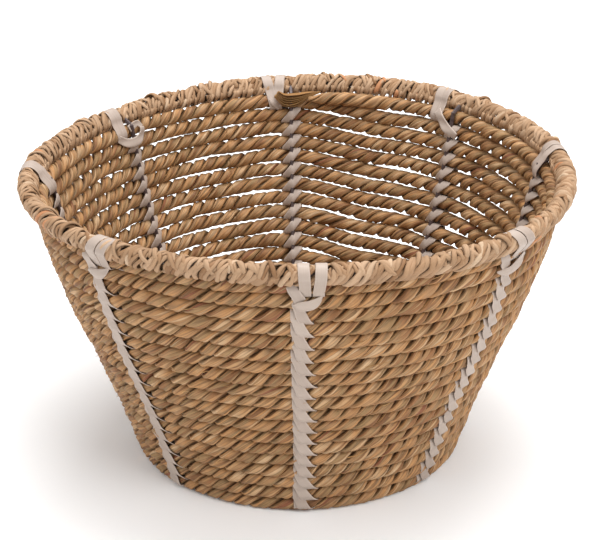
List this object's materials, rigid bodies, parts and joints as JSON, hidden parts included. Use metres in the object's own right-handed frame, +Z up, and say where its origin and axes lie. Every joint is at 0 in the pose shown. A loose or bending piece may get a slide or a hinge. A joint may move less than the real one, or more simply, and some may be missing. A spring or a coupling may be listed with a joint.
{
  "type": "woven market basket",
  "caption": "Round flared open basket of twisted plant-fibre rope wound on a wire frame and lashed with flat strip, with a leaf-bound rim and a flat base.",
  "frame": {"origin": "on the floor, under the middle of the basket's outer box", "axes": "+Z up, -Y towards the front; the first rib is nearly at -Y"},
  "size_m": [0.4023, 0.4027, 0.2293],
  "materials": {
    "rope": "twisted dry seagrass leaf, matte",
    "leaf_binding": "pale thin leaf strands, matte",
    "lashing_strip": "flat satin plastic strip, greyish beige",
    "frame_wire": "dark brown coated steel wire"
  },
  "bodies": {
    "root": {"rim_hoop": "frame_wire", "base_hoop": "frame_wire", "centre_ring": "frame_wire", "upright_wire_1": "frame_wire", "upright_wire_2": "frame_wire", "upright_wire_3": "frame_wire", "upright_wire_4": "frame_wire", "upright_wire_5": "frame_wire", "upright_wire_6": "frame_wire", "upright_wire_7": "frame_wire", "upright_wire_8": "frame_wire", "rim_wrap": "leaf_binding", "base_coil": "rope", "wall_row_01": "rope", "wall_row_02": "rope", "wall_row_03": "rope", "wall_row_04": "rope", "wall_row_05": "rope", "wall_row_06": "rope", "wall_row_07": "rope", "wall_row_08": "rope", "wall_row_09": "rope", "wall_row_10": "rope", "wall_row_11": "rope", "wall_row_12": "rope", "wall_row_13": "rope", "wall_row_14": "rope", "wall_row_15": "rope", "wall_row_16": "rope", "wall_row_17": "rope", "wall_row_18": "rope", "wall_row_19": "rope", "lashing_1": "lashing_strip", "lashing_2": "lashing_strip", "lashing_3": "lashing_strip", "lashing_4": "lashing_strip", "lashing_5": "lashing_strip", "lashing_6": "lashing_strip", "lashing_7": "lashing_strip", "lashing_8": "lashing_strip"}
  },
  "joints": []
}
